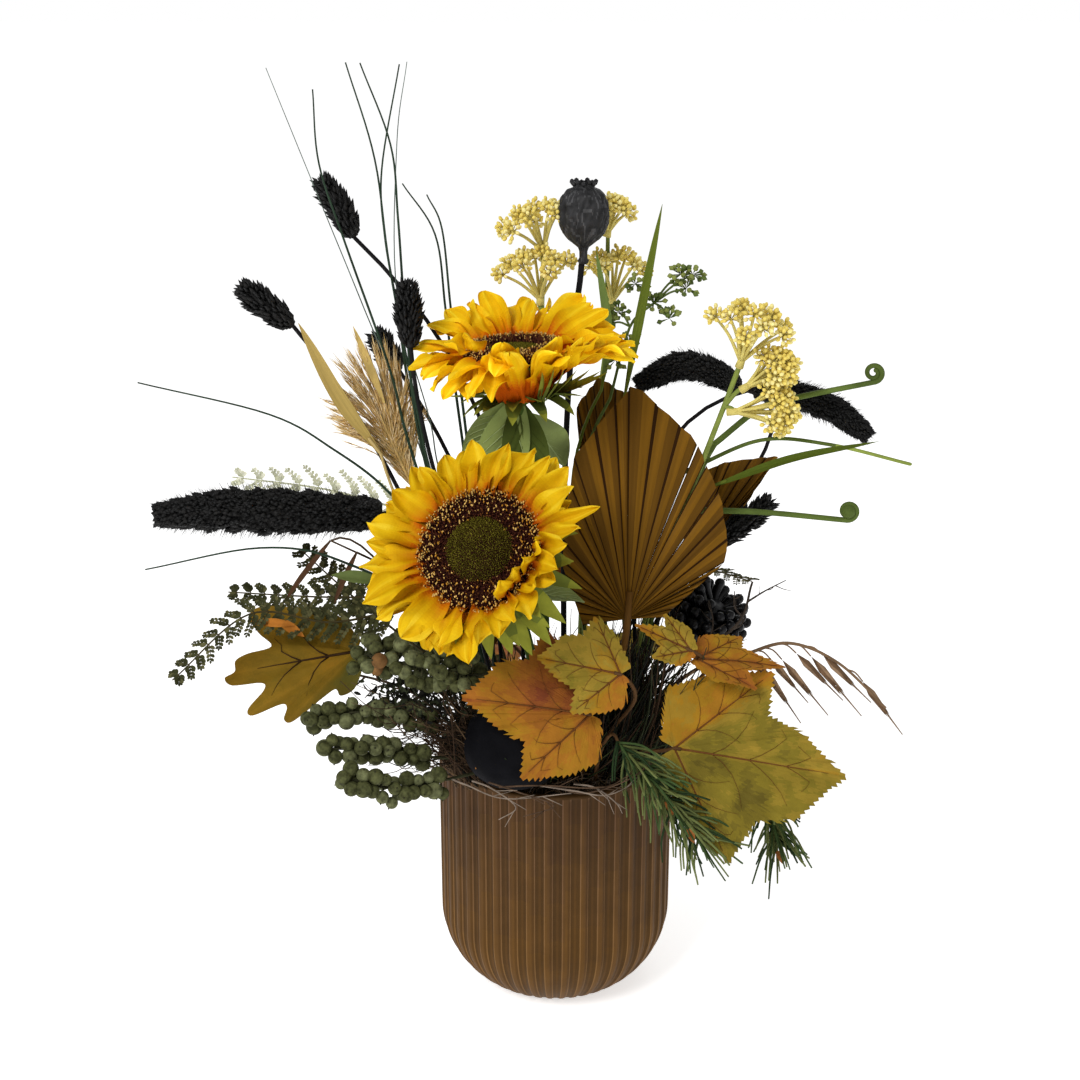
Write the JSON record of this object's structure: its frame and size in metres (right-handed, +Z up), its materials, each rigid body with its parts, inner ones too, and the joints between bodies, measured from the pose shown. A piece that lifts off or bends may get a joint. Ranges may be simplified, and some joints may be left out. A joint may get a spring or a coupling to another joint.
{
  "type": "potted artificial sunflower arrangement",
  "caption": "Artificial sunflowers among dried palm, grasses, pods, ferns, berries, autumn leaves and pine in a ribbed round pot, for display indoors.",
  "frame": {"origin": "middle of the pot's flat underside", "axes": "+Z up along the pot, -Y towards the front, which the larger sunflower faces, +X to the right seen from the front"},
  "size_m": [0.4716, 0.285, 0.5821],
  "materials": {
    "pot": "satin brown, ribbed",
    "filling": "rough moss and fibre over foam",
    "sunflower": "matt printed cloth petals with a fuzzy disc",
    "gourd": "satin black with orange specks",
    "palm": "dried pleated leaf, satin",
    "pine_cone": "glossy black",
    "pod": "matt wrinkled black",
    "umbel": "satin pale yellow",
    "green": "matt green",
    "straw": "dry straw",
    "seed": "dry black bristles",
    "plume": "fine dry hairs",
    "fern": "matt dark green",
    "pale_fern": "matt pale green",
    "autumn_leaf": "matt printed cloth",
    "olive_leaf": "matt printed cloth",
    "oak_leaf": "matt printed cloth",
    "brown_leaf": "dry brown",
    "berry": "satin olive green",
    "pine": "satin green needles",
    "oats": "dry bronze",
    "twig": "dry twig"
  },
  "bodies": {
    "root": {"berries_back": "berry", "berries_lower": "berry", "berries_middle": "berry", "berries_rim": "berry", "berries_upper": "berry", "blade_back": "green", "blade_right": "green", "blade_tall": "green", "bud_spray": "green", "fern_back_left": "fern", "fern_back_right": "fern", "fern_front": "fern", "fern_high": "fern", "fern_middle": "fern", "fern_pale": "pale_fern", "fiddlehead_lower": "green", "fiddlehead_upper": "green", "filling": "filling", "foxtail_behind": "seed", "foxtail_left": "seed", "foxtail_right": "seed", "gourd": "gourd", "lobed_leaf_back": "autumn_leaf", "lobed_leaf_back_left": "autumn_leaf", "lobed_leaf_back_right": "olive_leaf", "lobed_leaf_front": "autumn_leaf", "lobed_leaf_pair": "autumn_leaf", "lobed_leaf_right": "olive_leaf", "lobed_leaf_small": "olive_leaf", "oak_leaf": "oak_leaf", "oats_right": "oats", "palm_spear_back": "palm", "palm_spear_front": "palm", "palm_spear_left": "palm", "palm_spear_right": "palm", "pampas_plume": "plume", "pine_back": "pine", "pine_cone": "pine_cone", "pine_front": "pine", "pine_right": "pine", "plain_leaves": "brown_leaf", "poppy_pod": "pod", "pot": "pot", "round_grass": "green", "seed_head_behind": "seed", "seed_head_left": "seed", "seed_head_middle": "seed", "seed_head_right": "seed", "seed_head_tall": "seed", "straw_blade": "straw", "sunflower_front": "sunflower", "sunflower_top": "sunflower", "twigs_left": "twig", "twigs_right": "twig", "umbel_left": "umbel", "umbel_right": "umbel", "umbel_right_back": "umbel", "wiry_grass": "green", "wiry_grass_low": "green"}
  },
  "joints": []
}
